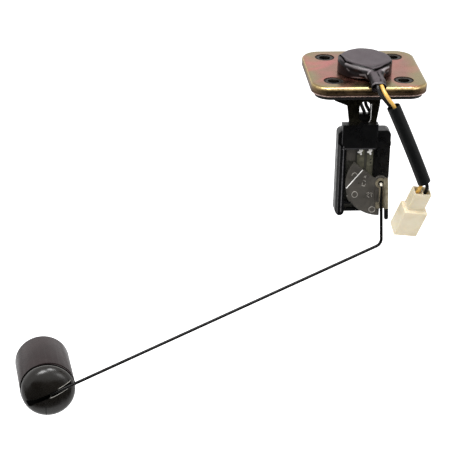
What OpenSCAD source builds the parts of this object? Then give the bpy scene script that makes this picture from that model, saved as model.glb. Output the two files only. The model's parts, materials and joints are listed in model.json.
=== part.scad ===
// Fuel level sender: a flange with two terminals, a hanging contact housing,
// and a float on a bent wire arm that turns a wiper over a resistor board.
// Millimetres, +Z up. The origin is the centre of the four bolts on the gasket's underside.

/* [Flange] */
// Width of the flange, left to right
flange_w = 72; // [64:0.5:84]
// Depth of the flange, front to back
flange_d = 70; // [62:0.5:82]
// Corner radius of the flange
flange_r = 12; // [9:0.5:16]
// Thickness of the pressed cover
cover_t = 3.4; // [2.4:0.1:4.4]
// Thickness of the backing plate
backing_t = 2.8; // [2:0.1:4]
// How far the backing plate lies inside the cover's edge
backing_inset = 0.1; // [0.1:0.1:1]
// Radius of the cover's rolled upper edge
cover_edge_r = 2; // [1:0.1:2.2]
// Radius of the backing plate's lower edge
backing_edge_r = 0.9; // [0.5:0.1:1.2]
// Thickness of the rubber gasket
gasket_t = 2.6; // [1.5:0.1:4]
// How far the gasket lies inside the cover's edge
gasket_inset = 2.6; // [1.5:0.1:4]
// Diameter of the gasket's central opening
gasket_opening_d = 44; // [38:0.5:47]

/* [Bolt holes] */
// Bolt spacing, left to right
bolt_dx = 43.5; // [40:0.5:48]
// Bolt spacing, front to back
bolt_dy = 43.5; // [40:0.5:48]
// Diameter of the holes in the plates
plate_hole_d = 12.4; // [11.6:0.1:14]
// Outer diameter of a bolt collar
collar_od = 10.6; // [9.6:0.1:11.2]
// Bore of a bolt collar, for an M6 bolt
collar_id = 7; // [6.4:0.1:8]

/* [Terminals] */
// Spacing of the two terminal screws
stud_dx = 13; // [11:0.5:16]
// How far the terminals lie behind the flange's centre
stud_y = 3; // [1:0.5:4]
// Thread diameter of a terminal screw
stud_d = 4; // [3:0.5:5]
// Thickness of the insulators
insulator_t = 1.4; // [1:0.1:1.8]
// Thickness of the eyelets' sheet
eyelet_t = 0.8; // [0.5:0.1:1]
// Width of a terminal nut across its flats
nut_af = 7; // [6.5:0.5:8]
// Height of a terminal nut
nut_h = 3; // [2:0.1:3.4]

/* [Boot] */
// Diameter of the boot
boot_d = 34; // [33.5:0.5:37]
// Height of the boot above the cover
boot_h = 9.2; // [8.6:0.1:11]
// Wall of the boot
boot_wall = 1.3; // [1:0.1:1.6]
// Radius of the boot's upper edge
boot_edge_r = 3.2; // [2:0.1:4]
// How far the boot's centre lies in front of the flange's centre
boot_front = 4.5; // [2:0.5:6]
// Width of the spout over the two leads
spout_w = 9.6; // [8.6:0.1:11]
// Height of the spout
spout_h = 6.2; // [5.2:0.1:7]

/* [Leads] */
// Diameter of a lead over its insulation
lead_d = 2.3; // [1.8:0.1:2.4]
// Outer diameter of the sleeve
sleeve_od = 8.3; // [7.6:0.1:9]
// Wall of the sleeve
sleeve_wall = 0.8; // [0.5:0.1:1]
// Length of the sleeve
sleeve_len = 55; // [40:1:56]
// Diameter of an inner lead
inner_lead_d = 2.2; // [1.5:0.1:2.3]

/* [Connector] */
// Width of the connector's hood
hood_w = 15.5; // [14.5:0.1:18]
// Depth of the connector's hood
hood_d = 10.8; // [10:0.1:13]
// Length of the connector's hood
hood_l = 21; // [18:0.5:26]
// Wall of the connector's hood
hood_wall = 1.2; // [0.8:0.1:1.4]
// Width of the connector's tail
tail_w = 11.3; // [11:0.1:13]
// Depth of the connector's tail
tail_d = 7.4; // [7:0.1:9]
// Length of the connector's tail
tail_l = 14.2; // [12:0.1:16]
// Wall of the connector's tail
tail_wall = 0.9; // [0.7:0.1:1.1]
// Width of a blade terminal
blade_w = 5; // [4:0.1:5.4]
// Thickness of a blade terminal
blade_t = 0.8; // [0.6:0.1:1]
// How far a blade reaches into the hood
blade_l = 9; // [6:0.5:10]

/* [Bracket] */
// Thickness of the bracket's sheet
bracket_t = 1.5; // [1:0.1:1.8]
// Width of the bracket at its foot
bracket_top_w = 22.4; // [20:0.2:25]
// Width of the bracket where it enters the housing
bracket_low_w = 17.6; // [14:0.2:18.4]
// How far the foot reaches forward under the plate
bracket_foot = 9; // [6:0.5:9.5]
// Width of the bracket's opening
slot_w = 6.9; // [5:0.1:8]
// Height of the pressed rim round the opening
slot_rim = 0.9; // [0.5:0.1:1]

/* [Sender housing] */
// Width of the housing
housing_w = 33.6; // [32.5:0.1:36]
// Height of the housing's rear body
housing_h = 55.1; // [53:0.1:58]
// Distance from the gasket's underside to the top of the housing's rear body
housing_top = 28.3; // [26.5:0.1:30]
// Height of the front hood above the rear body
hood_rise = 4.5; // [3:0.1:5]
// Height of the front hood
front_hood_h = 16.5; // [15:0.1:17]
// Width of the left rail at its foot
rail_w = 5.6; // [4.5:0.1:6]
// Width of the left rail at the hood
rail_top_w = 3.8; // [3:0.1:4.2]
// How far the left rail hangs below the housing's floor
rail_drop = 2; // [1:0.1:4]
// Depth of the window in front of the board
window_depth = 3.4; // [3:0.1:4]
// How far the right column ends above the housing's floor
column_rise = 5.2; // [2:0.1:7]
// Thickness of the rear cover
rear_cover_t = 1.6; // [1.2:0.1:2]

/* [Rotor] */
// Radius of the rotor's sector
rotor_r = 22.6; // [20:0.1:22.8]
// Thickness of the rotor's sector
rotor_t = 2; // [1.6:0.1:2.4]
// Diameter of the rotor's hub in the housing
hub_d = 6; // [5:0.1:7]
// Radial running clearance of the hub
hub_fit = 0.05; // [0.02:0.01:0.09]
// Radius of the stop lug at the rotor's lower left
lug_r = 23.3; // [22.9:0.1:23.4]
// Angle that the arm swings from its lower stop to its upper stop
arm_swing = 40; // [30:1:42]

/* [Arm] */
// Diameter of the arm's wire
wire_d = 2; // [1.6:0.1:2.2]
// Length of the short leg, from the axle to the elbow's corner
leg_len = 42.1; // [36:0.1:56]
// Lean of the short leg away from the float at rest
leg_lean = 3.4; // [0:0.1:8]
// Length of the long leg, from the elbow's corner to the float's centre
arm_len = 235; // [150:1:260]
// How far the long leg slopes down at rest
arm_drop = 22.8; // [15:0.1:30]
// How far the long leg splays out to the front
arm_splay = 6.9; // [0:0.1:8]
// Centreline radius of the elbow
elbow_r = 5; // [4:0.5:8]
// Centreline radius of the bends at the axle and at the float
small_bend_r = 2.4; // [2.2:0.1:3]

/* [Float] */
// Diameter of the float
float_d = 36; // [28:0.5:40]
// Length of the float's cylinder
float_l = 43; // [34:0.5:48]
// Height of the float's domed front
dome_h = 11.4; // [10.8:0.1:13]
// Radius of the dome's shoulder
shoulder_r = 7; // [5:0.1:8]
// Width of the gap ring between the float's body and its dome
gap_ring_w = 0.8; // [0.4:0.1:1.2]
// Radius of the float's back edge
float_edge_r = 2.5; // [1:0.1:5]
// Width of the groove across the dome
groove_w = 2.8; // [2.6:0.1:4]

/* [Hidden] */
$fn = 48;

// A small overlap that makes two solids of one piece a single one
weld = 0.2;
// A cut that runs clear of a face
past = 1;
// Gap between a piece and the seat that it lies in without a fit
seat = 0.1;
// How far the gasket's bosses and the bolt collars end below the cover's face
boss_drop = 0.5;
collar_drop = 0.2;
// Gap between the rotor and the housing in front of which it turns
turn_gap = 0.3;

// Levels of the flange stack
backing_z = gasket_t;
cover_z = backing_z + backing_t;
stack_t = cover_z + cover_t;
// Bushes round the terminal screws, and their holes in both plates
bush_d = stud_d + 2.6;
bush_hole_d = bush_d + 2 * seat;
// Terminal stack above and below the plates
eyelet_z = stack_t + insulator_t;
nut_z = eyelet_z + eyelet_t;
low_insulator_z = gasket_t - insulator_t;
low_eyelet_z = low_insulator_z - eyelet_t;
head_h = 2;
stud_top_z = nut_z + nut_h + 0.6;
barrel_d = 3.8;
barrel_l = 4;
barrel_floor = 1;
ring_w = 1.8;
tab_w = 2.8;
nut_r = nut_af / 2 / cos(30);
// The barrels start clear of the nut above, and of the screw's head below
outer_reach = nut_r + turn_gap + barrel_l;
inner_reach = stud_d / 2 + 3.6;
insulator_w = stud_dx + 9;
insulator_d = 10;
insulator_r = insulator_d / 2 - 0.1;

// The boot's centre, its spout's place in the boot, and where its body runs into the spout
boot_x = -0.2;
spout_x = 3.7;
spout_z = spout_h / 2 + 0.2;
spout_wall = 1;
spout_past = 5;
neck_y = -boot_d / 2 - 5;

// Depths in the housing, front to back
hood_front_y = -14;
housing_front_y = -12.2;
web_y = -8;
web_back_y = web_y + bracket_t;
housing_back_y = -3.2;
column_front_y = housing_front_y + 1.5;
rotor_back_y = housing_front_y - turn_gap;
rotor_front_y = rotor_back_y - rotor_t;
clip_t = 0.8;
clip_front_y = rotor_front_y - clip_t;
clip_rib_d = 3;
clip_rib_x = 3.3;
// The rotor's plate ends here below the axle, and the clip a little lower
plate_low = 17;
clip_low = plate_low + 0.4;
wire_y = clip_front_y - wire_d / 2 - 0.05;
window_back_y = housing_front_y + window_depth;
board_t = 1;
board_front_y = window_back_y - board_t;
strip_t = 0.4;
solder_d = 2.2;
// Pocket behind the hub, where a clip holds the wire's end
pocket_t = 1.4;
hub_end_y = housing_back_y - pocket_t + 0.1;

// The axle, in the row's own frame
axle_x = 12.5;
axle_z = -63.2;

// Housing outline
housing_left = -15.8;
housing_right = housing_left + housing_w;
housing_top_z = -housing_top;
housing_floor_z = housing_top_z - housing_h;
front_top_z = housing_top_z + hood_rise;
front_bottom_z = front_top_z - front_hood_h;
front_left = -13.4;
front_right = 9.4;
top_corner_r = 3.2;
// The snap nub's place on the right side
nub_z = -39;
nub_back = 1.2;
// How far the hood's lower part steps in, at its right and at its left corner
hood_step = 0.5;
hood_chamfer = [2.2, 2.4];
// Band along the hood's lower edge
band_t = 1.1;
band_h = 4.6;
band_right = 13.8;
window_right = 8;
window_left = housing_left + rail_w;
window_floor_z = housing_floor_z + 1.8;
column_foot_z = housing_floor_z + column_rise;
// The housing's floor ends here, left of the rising column
floor_right = 6;
// The full-depth box above the axle ends here
box_foot_z = axle_z + 2.5;
// Where the bracket's web ends in the housing, and its two rivets
web_low_z = -36;
rivet_z = -33;
rivet_dx = 13;
rivet_d = 3;
rivet_tip = 1.2;
rivet_head_d = 5.4;
rivet_head_t = 1;
// The bracket's flare, foot, waist and opening
flare_x = 20;
flare_z = -8;
flare_corner = [2, 1.8];
foot_left = 13;
waist_in = 0.9;
waist_z = -13;
low_z = -23.4;
slot_low_z = -24.5;
slot_top_z = -10;
slot_x = 0.85;
rim_w = 0.8;
// Tower on the housing behind the bracket, where the inner leads go in
inner_lead_x = [1.2, 4.7];
inner_lead_y = -4.8;
tower_left = -3.6;
tower_right = 6.8;
tower_z = -19.2;
lead_hole = 1.7;

// Arm geometry: the elbow's corner, and the turn between the two legs
elbow_x = axle_x + leg_len * sin(leg_lean);
elbow_z = axle_z - leg_len * cos(leg_lean);
short_in_long = [sin(arm_drop - leg_lean) * cos(arm_splay),
    -sin(arm_drop - leg_lean) * sin(arm_splay), cos(arm_drop - leg_lean)];
elbow_turn = acos(short_in_long[0]);
elbow_roll = atan2(-short_in_long[1], short_in_long[2]);
elbow_tangent = elbow_r * tan(elbow_turn / 2);
// How far the wire lies in front of the float's rim, close under the dome's front
wire_cover = 1.5;
float_wire_y = dome_h - wire_cover;
// Depth of the gap ring and length of the straight part in front of it
gap_ring_d = 0.7;
dome_foot = 2;
float_nut_t = 1;
wire_bore_d = wire_d + 0.04;

// Rotor sector at rest: its upper straight edge, and its stop lug's two edges
sector_up = 141;
lug_up = 202;
lug_low = 213;
// Gap that is left at each stop, the lower stop's thickness and the upper stop's size
stop_gap = 0.15;
ledge_t = 1.2;
stop_rib = [1.8, 2.1, 5.7];
// Raised edge on the rotor beside the wire: its place and its size
edge_at = [-4.4, -16.5];
edge_size = [0.8, 0.4, 14.6];
// Wiper on the back of the rotor: its angle at rest and its reach from the axle
wiper_turn = 225;
wiper_in = 9;
wiper_out = 18;

// Sleeve and connector placement
sleeve_top = [12, -46, 0.7];
sleeve_turn = 23.8;
connector_at = [30.2, -40, -69];
connector_turn = [23.6, 10.2, 10.7];
tail_back = 0.9;
connector_web = 3;
cavity_w = tail_w / 2 - tail_wall - 0.4;
cavity_x = (cavity_w + 0.95) / 2;

// Route of the yellow lead, from its eyelet to its blade
yellow_route = [[6.5, -2.4, 12.1], [6.5, -6.4, 12.1], [6, -12, 12.1], [5.3, -17, 12.1],
    [5, -22, 12.1], [4.9, -27, 12.1], [4.8, -32, 12.1], [4.8, -36, 12],
    [5.2, -40.2, 11.2], [6.2, -43.9, 9.1], [8.4, -46.4, 5.8], [11.9, -47.2, 1.2],
    [14.7, -47.3, -5], [17.3, -47.3, -11.1], [19.8, -47.3, -17.2], [22.1, -47.3, -23.3],
    [24.4, -47.1, -29.4], [26.8, -46.8, -35.4], [29.2, -46.5, -41.4], [31.4, -46.2, -46.5],
    [32.4, -46.1, -50.1], [31.6, -45.4, -53.6], [30.3, -43.9, -57.6], [29.4, -42.6, -61],
    [28.7, -41.4, -63.8]];
// Route of the black lead, from its eyelet to its blade
black_route = [[-6.5, -2.4, 12.1], [-6.5, -6.4, 12.1], [-3.8, -12, 12.1], [0, -17, 12.1],
    [1.9, -22, 12.1], [2.2, -27, 12.1], [2.2, -32, 12.1], [2.2, -36, 12],
    [2.6, -40.1, 10.9], [3.9, -42.7, 7.6], [7, -44.6, 3.9], [11, -45.1, -0.9],
    [13.7, -44.9, -5.9], [16.7, -44.7, -11.3], [19.8, -44.7, -17.1], [22.9, -44.7, -22.9],
    [25.8, -44.9, -28.7], [28.7, -45.2, -34.6], [31.5, -45.5, -40.4], [33.8, -45.8, -45.4],
    [35.3, -45.8, -49.8], [36.2, -45, -53.6], [35.7, -43.4, -57.5], [34.8, -42, -60.9],
    [33.8, -40.4, -64.8]];
// Routes of the two inner leads, from their eyelets down into the housing's top
left_inner_route = [[-6.5, -2.6, -1.6], [-6.2, -2.8, -4.6], [-4.8, -3.2, -7.4],
    [-3, -3.7, -10], [-1.3, -4.2, -12.8], [-0.1, -4.6, -15.6], [1.2, -4.8, -18.4],
    [1.2, -4.8, -20.8]];
right_inner_route = [[6.5, -2.6, -1.6], [6.2, -2.8, -4.4], [4.6, -3.2, -7],
    [2.6, -3.7, -9.2], [1.6, -4.2, -11.8], [2.2, -4.6, -14], [3.4, -4.8, -16.2],
    [4.7, -4.8, -18.4], [4.7, -4.8, -20.8]];

// A direction of length one
function unit(v) = v / norm(v);
// Direction of a route at its point i
function along(p, i) = unit(p[min(i + 1, len(p) - 1)] - p[max(i - 1, 0)]);

// A round tube that follows a route, with one ring at each of its points
module swept(route, d, sides = 8) {
    r = d / 2 / cos(90 / sides);
    rings = [for (i = [0:len(route) - 1])
        let (t = along(route, i), u = unit(cross(t, [1, 0, 0.05])), v = cross(t, u))
        for (k = [0:sides - 1])
            route[i] + r * (cos(360 * k / sides) * u + sin(360 * k / sides) * v)];
    last = sides * (len(route) - 1);
    faces = concat([[for (k = [0:sides - 1]) k]],
        [for (i = [0:len(route) - 2], k = [0:sides - 1])
            let (a = i * sides + k, b = i * sides + (k + 1) % sides)
            [a, a + sides, b + sides, b]],
        [[for (k = [sides - 1:-1:0]) last + k]]);
    polyhedron(points = rings, faces = faces, convexity = 6);
}

// A flat plate with round corners
module slab(w, d, r, h) {
    translate([-w / 2 + r, -d / 2, 0]) cube([w - 2 * r, d, h]);
    translate([-w / 2, -d / 2 + r, 0]) cube([w, d - 2 * r, h]);
    corners(w - 2 * r, d - 2 * r) cylinder(r = r, h = h);
}

// A plate whose upper edge is rolled to a radius
module rolled_slab(w, d, r, h, edge) {
    translate([0, d / 2 - r, 0]) rotate([90, 0, 0]) linear_extrude(d - 2 * r)
        rolled_section(w, h, edge);
    translate([-w / 2 + r, 0, 0]) rotate([90, 0, 90]) linear_extrude(w - 2 * r)
        rolled_section(d, h, edge);
    corners(w - 2 * r, d - 2 * r) rotate_extrude() intersection() {
        rolled_section(2 * r, h, edge);
        square([r, h]);
    }
}

// Section of a plate with two rolled upper edges
module rolled_section(w, h, edge) {
    translate([-w / 2, 0]) square([w, h - edge]);
    translate([-w / 2 + edge, 0]) square([w - 2 * edge, h]);
    intersection() {
        for (s = [-1, 1]) translate([s * (w / 2 - edge), h - edge]) circle(r = edge);
        translate([-w / 2, 0]) square([w, h]);
    }
}

// Children at the four corners of a rectangle
module corners(dx, dy) {
    for (sx = [-1, 1], sy = [-1, 1])
        translate([sx * dx / 2, sy * dy / 2, 0]) children();
}

// Children at the two terminals
module at_terminals() {
    for (s = [-1, 1]) translate([s * stud_dx / 2, stud_y, 0]) children();
}

// An extrusion along Y of an outline drawn in X and Z, from one depth to another
module slice(y0, y1) {
    translate([0, y1, 0]) rotate([90, 0, 0]) linear_extrude(y1 - y0) children();
}

// A round bar along +Y
module bar_y(d, y0, y1) {
    translate([0, y0, 0]) rotate([-90, 0, 0]) cylinder(d = d, h = y1 - y0);
}

// Plate holes for the bolts and for the terminals' bushes
module plate_holes() {
    translate([0, 0, -past]) {
        corners(bolt_dx, bolt_dy) cylinder(d = plate_hole_d, h = stack_t + 2 * past);
        at_terminals() cylinder(d = bush_hole_d, h = stack_t + 2 * past);
    }
}

module flange_cover() {
    color("#b5a06a") translate([0, 0, cover_z]) difference() {
        rolled_slab(flange_w, flange_d, flange_r, cover_t, cover_edge_r);
        plate_holes();
    }
}

module backing_plate() {
    color("#8c7b48") translate([0, 0, backing_z]) difference() {
        translate([0, 0, backing_t]) mirror([0, 0, 1])
            rolled_slab(flange_w - 2 * backing_inset, flange_d - 2 * backing_inset,
                flange_r - backing_inset, backing_t, backing_edge_r);
        plate_holes();
    }
}

module gasket() {
    boss_d = plate_hole_d - 2 * seat;
    color("#1b1a1a") difference() {
        union() {
            slab(flange_w - 2 * gasket_inset, flange_d - 2 * gasket_inset,
                flange_r - gasket_inset, gasket_t);
            corners(bolt_dx, bolt_dy) cylinder(d = boss_d, h = stack_t - boss_drop);
        }
        translate([0, 0, -past]) {
            cylinder(d = gasket_opening_d, h = gasket_t + 2 * past);
            corners(bolt_dx, bolt_dy)
                cylinder(d = collar_od + 2 * seat, h = stack_t + 2 * past);
        }
    }
}

module bolt_collars() {
    color("#8f8f88") corners(bolt_dx, bolt_dy) difference() {
        cylinder(d = collar_od, h = stack_t - collar_drop);
        translate([0, 0, -past]) cylinder(d = collar_id, h = stack_t + 2 * past);
    }
}

module upper_insulator() {
    color("#7a4a2a") difference() {
        translate([0, stud_y, stack_t])
            slab(insulator_w, insulator_d, insulator_r, insulator_t);
        at_terminals() translate([0, 0, stack_t - past])
            cylinder(d = stud_d + 2 * seat, h = insulator_t + 2 * past);
    }
}

module lower_insulator() {
    color("#7a4a2a") difference() {
        union() {
            translate([0, stud_y, low_insulator_z])
                slab(insulator_w, insulator_d, insulator_r, insulator_t);
            at_terminals() translate([0, 0, low_insulator_z])
                cylinder(d = bush_d, h = stack_t - low_insulator_z);
        }
        at_terminals() translate([0, 0, low_insulator_z - past])
            cylinder(d = stud_d + 2 * seat, h = stack_t + 2 * past);
    }
}

module terminal_screws() {
    color("#c9b36a") at_terminals() translate([0, 0, low_eyelet_z]) {
        translate([0, 0, -head_h]) cylinder(d = stud_d + 3, h = head_h);
        translate([0, 0, -weld]) cylinder(d = stud_d, h = stud_top_z - low_eyelet_z + weld);
    }
}

module terminal_nuts() {
    color("#c2b280") at_terminals() translate([0, 0, nut_z]) difference() {
        cylinder(r = nut_r, h = nut_h, $fn = 6);
        translate([0, 0, -past]) cylinder(d = stud_d + 0.1, h = nut_h + 2 * past);
    }
}

// One eyelet: a ring round the screw, and a tab with a crimped barrel at its end
module eyelet(reach) {
    difference() {
        union() {
            cylinder(d = stud_d + 2 * ring_w, h = eyelet_t);
            translate([-tab_w / 2, -reach, 0]) cube([tab_w, reach, eyelet_t]);
            children();
        }
        translate([0, 0, -past]) cylinder(d = stud_d + 2 * seat, h = eyelet_t + 2 * past);
    }
}

// A crimped barrel along -Z, from its closed end, open for a lead of the given diameter
module barrel(lead) {
    mirror([0, 0, 1]) difference() {
        cylinder(d = barrel_d, h = barrel_l);
        translate([0, 0, barrel_floor]) cylinder(d = lead + 3 * seat, h = barrel_l);
    }
}

module outer_eyelets() {
    color("#b9b4a6") at_terminals() translate([0, 0, eyelet_z]) eyelet(outer_reach)
        translate([0, barrel_l - outer_reach, barrel_d / 2]) rotate([-90, 0, 0])
            barrel(lead_d);
}

// Here the tab is bent down, so that the barrel hangs at its end
module inner_eyelets() {
    color("#b9b4a6") at_terminals() translate([0, 0, low_eyelet_z]) eyelet(inner_reach)
        translate([0, -inner_reach, eyelet_t]) barrel(inner_lead_d);
}

module boot() {
    inner_d = boot_d - 2 * boot_wall;
    spout_l = flange_d / 2 + spout_past - boot_front;
    color("#453f44") translate([boot_x, -boot_front, stack_t]) difference() {
        union() {
            rotate_extrude() {
                square([boot_d / 2, boot_h - boot_edge_r]);
                square([boot_d / 2 - boot_edge_r, boot_h]);
                translate([boot_d / 2 - boot_edge_r, boot_h - boot_edge_r])
                    circle(r = boot_edge_r);
            }
            // The body's top runs down to the spout like the back of a drop
            hull() {
                translate([0, 0, spout_z]) cylinder(d = boot_d - boot_edge_r,
                    h = boot_h - spout_z - boot_edge_r / 3, $fn = 40);
                in_spout(neck_y) linear_extrude(weld) stadium(spout_w, spout_h, 24);
            }
            in_spout(-spout_l) linear_extrude(spout_l - inner_d / 2) stadium(spout_w, spout_h);
        }
        translate([0, 0, -past]) cylinder(d = inner_d, h = boot_h - boot_wall + past);
        in_spout(-spout_l - past) linear_extrude(spout_l)
            stadium(spout_w - 2 * spout_wall, spout_h - 2 * spout_wall);
    }
}

// Children drawn in the spout's cross-section, from one depth on
module in_spout(y) {
    translate([spout_x, y, spout_z]) rotate([-90, 0, 0]) children();
}

// An outline of two half circles joined by straight sides
module stadium(w, h, fn = $fn) {
    square([w - h, h], center = true);
    for (s = [-1, 1]) translate([s * (w - h) / 2, 0]) circle(d = h, $fn = fn);
}

module lead_yellow() {
    color("#d8a73a") swept(yellow_route, lead_d);
}

module lead_black() {
    color("#1c1b1c") swept(black_route, lead_d);
}

module lead_sleeve() {
    color("#242326") translate(sleeve_top) rotate([0, 180 - sleeve_turn, 0]) difference() {
        cylinder(d = sleeve_od, h = sleeve_len);
        translate([0, 0, -past])
            cylinder(d = sleeve_od - 2 * sleeve_wall, h = sleeve_len + 2 * past);
    }
}

module in_connector() {
    translate(connector_at) rotate(connector_turn) children();
}

module connector_housing() {
    cavity_d = tail_d - 2 * tail_wall;
    color("#d6c8a4") in_connector() difference() {
        union() {
            translate([-hood_w / 2, -hood_d / 2, -hood_l]) cube([hood_w, hood_d, hood_l]);
            translate([-tail_w / 2, tail_back - tail_d / 2, -weld])
                cube([tail_w, tail_d, tail_l + weld]);
        }
        translate([-hood_w / 2 + hood_wall, -hood_d / 2 + hood_wall, -hood_l - past])
            cube([hood_w - 2 * hood_wall, hood_d - 2 * hood_wall,
                hood_l - connector_web + past]);
        for (s = [-1, 1]) translate([s * cavity_x, tail_back, 0]) {
            translate([-cavity_w / 2, -cavity_d / 2, 0])
                cube([cavity_w, cavity_d, tail_l + past]);
            translate([-cavity_w / 2, -blade_t / 2 - seat, -connector_web - past])
                cube([cavity_w, blade_t + 2 * seat, connector_web + 2 * past]);
        }
    }
}

module connector_blades() {
    blade = min(blade_w, cavity_w - 2 * seat);
    crimp_z = 3.6;
    crimp_h = 4.4;
    color("#c9b36a") in_connector() for (s = [-1, 1])
        translate([s * cavity_x, tail_back, 0]) {
            translate([-blade / 2, -blade_t / 2, -connector_web - blade_l])
                cube([blade, blade_t, connector_web + blade_l + crimp_z + weld]);
            translate([0, 0, crimp_z]) difference() {
                cylinder(d = lead_d + 1, h = crimp_h);
                translate([0, 0, 1]) cylinder(d = lead_d + 2 * seat, h = crimp_h);
            }
        }
}

module bracket() {
    waist = bracket_top_w / 2 - waist_in;
    low = bracket_low_w / 2;
    color("#3b392c") difference() {
        union() {
            slice(web_y, web_back_y) polygon([[-flare_x, backing_z],
                [bracket_top_w / 2, backing_z], [waist, waist_z], [low, low_z],
                [low, web_low_z], [-low, web_low_z], [-low, low_z], [-waist, waist_z],
                [-flare_x + flare_corner[0], flare_z - flare_corner[1]],
                [-flare_x, flare_z]]);
            translate([-foot_left, web_back_y - bracket_t - bracket_foot,
                backing_z - bracket_t])
                cube([bracket_top_w / 2 + foot_left, bracket_foot + weld, bracket_t]);
            slice(web_y - slot_rim, web_y + weld) slot_outline(rim_w);
        }
        slice(web_y - past - slot_rim, web_back_y + past) slot_outline(0);
        at_rivets() bar_y(rivet_d + 2 * seat, web_y - past, web_back_y + past);
    }
}

// Children at the two rivets that hold the housing on the bracket
module at_rivets() {
    for (s = [-1, 1]) translate([s * rivet_dx / 2, 0, rivet_z]) children();
}

// The bracket's oblong opening, grown by a margin
module slot_outline(grow) {
    r = slot_w / 2;
    translate([slot_x - r - grow, slot_low_z + r])
        square([slot_w + 2 * grow, slot_top_z - slot_low_z - slot_w]);
    for (z = [slot_low_z + r, slot_top_z - r]) translate([slot_x, z]) circle(r = r + grow);
}

module bracket_rivets() {
    back_y = housing_back_y + rear_cover_t;
    color("#9a9a94") at_rivets() {
        bar_y(rivet_d, web_y - rivet_tip, back_y + weld);
        bar_y(rivet_head_d, back_y, back_y + rivet_head_t);
    }
}

module inner_lead_left() {
    color("#201f1f") swept(left_inner_route, inner_lead_d);
}

module inner_lead_right() {
    color("#201f1f") swept(right_inner_route, inner_lead_d);
}

// Outline of the housing's rear body, with round upper corners
module rear_outline(inset) {
    r = top_corner_r;
    left = housing_left + inset;
    right = housing_right - inset;
    top = housing_top_z - inset;
    low = housing_floor_z + inset;
    translate([left, column_foot_z + inset])
        square([right - left, top - column_foot_z - inset - r]);
    translate([left, low]) square([floor_right - left, top - low - r]);
    translate([left + r, column_foot_z + inset])
        square([right - left - 2 * r, top - column_foot_z - inset]);
    for (x = [left + r, right - r]) translate([x, top - r]) circle(r = r);
}

module sender_housing() {
    web_slot = bracket_t + 2 * seat;
    boss_d = hub_d + 3;
    color("#232223") difference() {
        union() {
            difference() {
                union() {
                    slice(housing_front_y, housing_back_y) rear_outline(0);
                    front_hood();
                    rail();
                    snap_nub();
                    lead_tower();
                }
                // Window in front of the board
                translate([window_left, housing_front_y - past, window_floor_z])
                    cube([window_right - window_left, window_depth + past,
                        front_bottom_z - window_floor_z]);
                // The right column steps back behind the rotor
                translate([window_right - past, housing_front_y - past, column_foot_z - past])
                    cube([housing_right - window_right + 2 * past,
                        column_front_y - housing_front_y + past,
                        box_foot_z - column_foot_z + past]);
            }
            in_axle() bar_y(boss_d, housing_front_y, column_front_y + weld);
            lower_stop();
            upper_stop();
        }
        in_axle() {
            bar_y(hub_d + 2 * hub_fit, housing_front_y - past, housing_back_y + past);
            bar_y(hub_d + 2, housing_back_y - pocket_t, housing_back_y + past);
        }
        // Slot for the bracket's web, blind holes for its rivets, holes for the leads
        translate([-bracket_low_w / 2 - seat, web_y - seat, web_low_z - seat])
            cube([bracket_low_w + 2 * seat, web_slot, front_top_z - web_low_z + past]);
        slice(web_y - slot_rim - seat, web_y) slot_outline(rim_w + seat);
        at_rivets() bar_y(rivet_d + 2 * seat, web_y - rivet_tip - seat, housing_back_y + past);
        for (x = inner_lead_x) translate([x, inner_lead_y, tower_z - lead_hole])
            cylinder(d = inner_lead_d + 3 * seat, h = lead_hole + past);
    }
}

// Snap nub on the right side
module snap_nub() {
    size = [0.5, 3, 2.5];
    translate([housing_right - weld, housing_front_y + nub_back, nub_z])
        cube(size + [weld, 0, 0]);
}

// Tower behind the bracket that guides the two inner leads
module lead_tower() {
    slice(web_back_y + seat, housing_back_y) translate([tower_left, housing_top_z - weld])
        square([tower_right - tower_left, tower_z - housing_top_z + weld]);
}

// The front hood over the bracket's web, with a band along its lower edge
module front_hood() {
    back_y = web_y - seat;
    edge_r = 0.8;
    intersection() {
        slice(hood_front_y, back_y) polygon([[front_left, front_top_z],
            [front_right, front_top_z], [front_right - hood_step, front_bottom_z + band_h],
            [front_right - hood_step, front_bottom_z],
            [front_left + hood_chamfer[0], front_bottom_z],
            [front_left, front_bottom_z + hood_chamfer[1]]]);
        translate([front_left, hood_front_y, front_bottom_z]) linear_extrude(front_hood_h)
            front_edges(front_right - front_left, back_y - hood_front_y, edge_r);
    }
    slice(housing_front_y - band_t, housing_front_y + weld)
        translate([front_left + hood_chamfer[0], front_bottom_z])
            square([band_right - front_left - hood_chamfer[0], band_h]);
}

// A rectangle whose two front corners are round
module front_edges(w, d, r) {
    translate([0, r]) square([w, d - r]);
    translate([r, 0]) square([w - 2 * r, d]);
    for (x = [r, w - r]) translate([x, r]) circle(r = r);
}

// Ledge on the rail that the rotor's lug comes down on
module lower_stop() {
    top_z = axle_z + lug_r * sin(lug_low) - stop_gap;
    right = axle_x - sqrt(pow(rotor_r + turn_gap, 2) - pow(axle_z - top_z, 2));
    translate([window_left - weld, rotor_front_y, top_z - ledge_t])
        cube([right - window_left + weld, board_front_y - seat - rotor_front_y, ledge_t]);
}

// Rib on the box above the axle that the rotor's straight edge comes up against
module upper_stop() {
    low_z = front_bottom_z - stop_rib[2];
    edge_x = axle_x + (low_z - axle_z) / tan(sector_up - arm_swing);
    translate([edge_x + stop_gap, housing_front_y - stop_rib[1], low_z])
        cube(stop_rib + [0, weld, weld]);
}

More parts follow.
